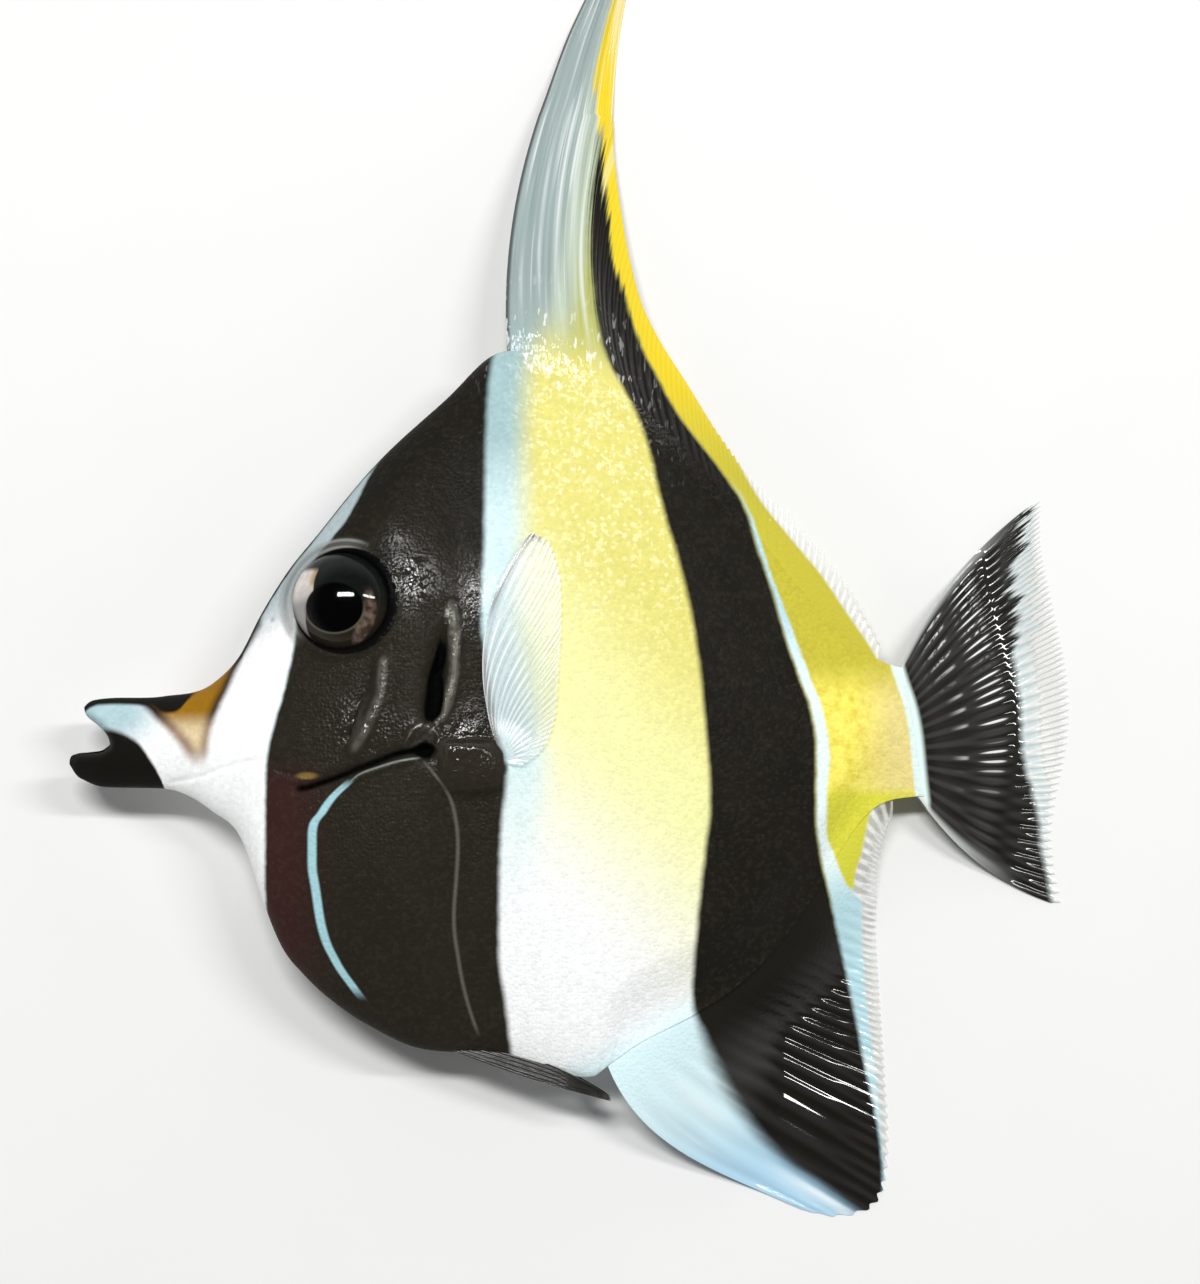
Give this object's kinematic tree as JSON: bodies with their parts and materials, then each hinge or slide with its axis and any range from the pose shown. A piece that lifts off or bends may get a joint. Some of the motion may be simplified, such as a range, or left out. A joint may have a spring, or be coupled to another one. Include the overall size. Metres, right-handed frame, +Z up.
{
  "type": "moorish idol fish",
  "caption": "Young moorish idol fish lying on its right flank, with banded disc-shaped body, tubular snout and a long swept dorsal streamer.",
  "frame": {"origin": "bottom centre of the whole fish's bounding box, on the surface it lies on", "axes": "+X from the snout towards the tail, +Y from the belly towards the back and the dorsal streamer, +Z up out of the left flank, the fish lying on its right flank"},
  "size_m": [0.0866, 0.1552, 0.0144],
  "materials": {
    "skin": "wet, with fine scales",
    "jaw_skin": "wet and smooth",
    "fin": "wet membrane over ridged rays",
    "fin_clear": "clear wet membrane",
    "eye": "glossy"
  },
  "bodies": {
    "root": {"head": "skin", "torso": "skin", "tail_stem": "skin", "upper_jaw": "jaw_skin", "lower_jaw": "jaw_skin", "gill_cover_left": "skin", "gill_cover_right": "skin", "eye_left": "eye", "eye_right": "eye", "dorsal_fin": "fin", "dorsal_streamer_base": "fin", "dorsal_streamer_tip": "fin", "anal_fin": "fin", "caudal_fin": "fin", "pectoral_fin_left": "fin_clear", "pectoral_fin_right": "fin_clear", "pelvic_fin_left": "fin", "pelvic_fin_right": "fin"}
  },
  "joints": []
}
